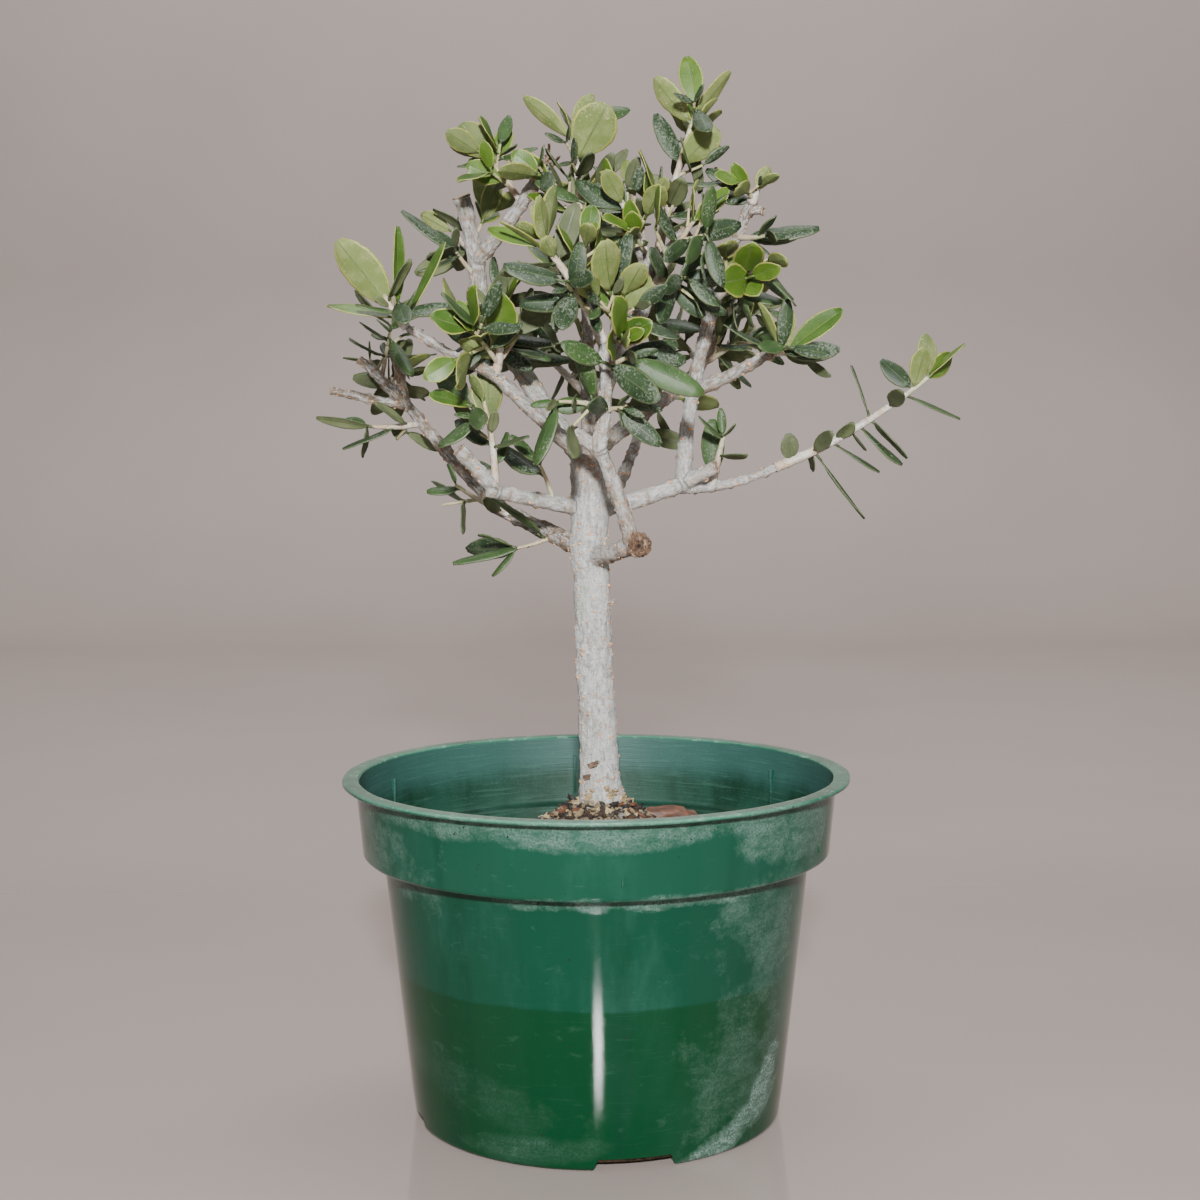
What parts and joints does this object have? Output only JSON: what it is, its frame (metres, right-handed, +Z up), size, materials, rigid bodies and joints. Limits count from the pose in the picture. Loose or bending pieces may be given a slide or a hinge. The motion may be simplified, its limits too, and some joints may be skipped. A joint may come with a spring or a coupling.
{
  "type": "potted olive tree",
  "caption": "Young olive tree with a short pale trunk, forked pruned boughs and narrow leaves in loose tufts, standing in a round plastic nursery pot of gritty soil.",
  "frame": {"origin": "centre of the flat underside of the pot, on the pot's axis", "axes": "+Z up along the pot's axis, -Y towards the front of the plant, +X to the right as seen from the front"},
  "size_m": [0.2224, 0.165, 0.3393],
  "materials": {
    "pot_plastic": "satin bluish-green moulded plastic, faded paler on its upper half, with chalky water marks",
    "soil": "coarse matt potting mix of tan and dark grit",
    "bark": "matt pale grey bark with fine fissures and rusty pores, tan at the pruning cuts",
    "foliage": "leathery leaves, dark green above, pale sage below, yellow-green where young"
  },
  "bodies": {
    "root": {"pot": "pot_plastic", "soil": "soil", "trunk": "bark", "knuckle_bough": "bark", "front_lower_bough": "bark", "front_upper_bough": "bark", "right_bough": "bark", "right_long_bough": "bark", "right_upright_bough": "bark", "right_upper_bough": "bark", "lit_right_bough": "bark", "shaded_right_bough": "bark", "leader_bough": "bark", "centre_bough": "bark", "upper_left_bough": "bark", "outer_left_bough": "bark", "tall_stub_bough": "bark", "stub_top_bough": "bark", "forked_bough": "bark", "left_low_bough": "bark", "back_left_bough": "bark", "back_left_end": "bark", "back_bough": "bark", "back_low_bough": "bark", "front_tip_leaves": "foliage", "front_left_leaves": "foliage", "front_right_leaves": "foliage", "left_tip_leaves": "foliage", "centre_left_leaves": "foliage", "low_left_leaves": "foliage", "inner_left_leaves": "foliage", "upper_left_leaves": "foliage", "stub_side_leaves": "foliage", "leader_leaves": "foliage", "inner_centre_leaves": "foliage", "top_right_leaves": "foliage", "inner_right_leaves": "foliage", "right_upper_leaves": "foliage", "right_middle_leaves": "foliage", "right_tip_leaves": "foliage", "right_low_leaves": "foliage", "long_limb_leaves": "foliage", "back_left_leaves": "foliage", "low_back_leaves": "foliage", "shaded_right_leaves": "foliage", "back_top_leaves": "foliage", "back_low_leaves": "foliage", "back_middle_leaves": "foliage", "left_fan_leaves": "foliage", "low_spray_leaves": "foliage", "fork_leaves": "foliage", "stub_left_leaves": "foliage", "right_outer_leaves": "foliage", "front_side_leaves": "foliage", "front_low_leaves": "foliage"}
  },
  "joints": []
}
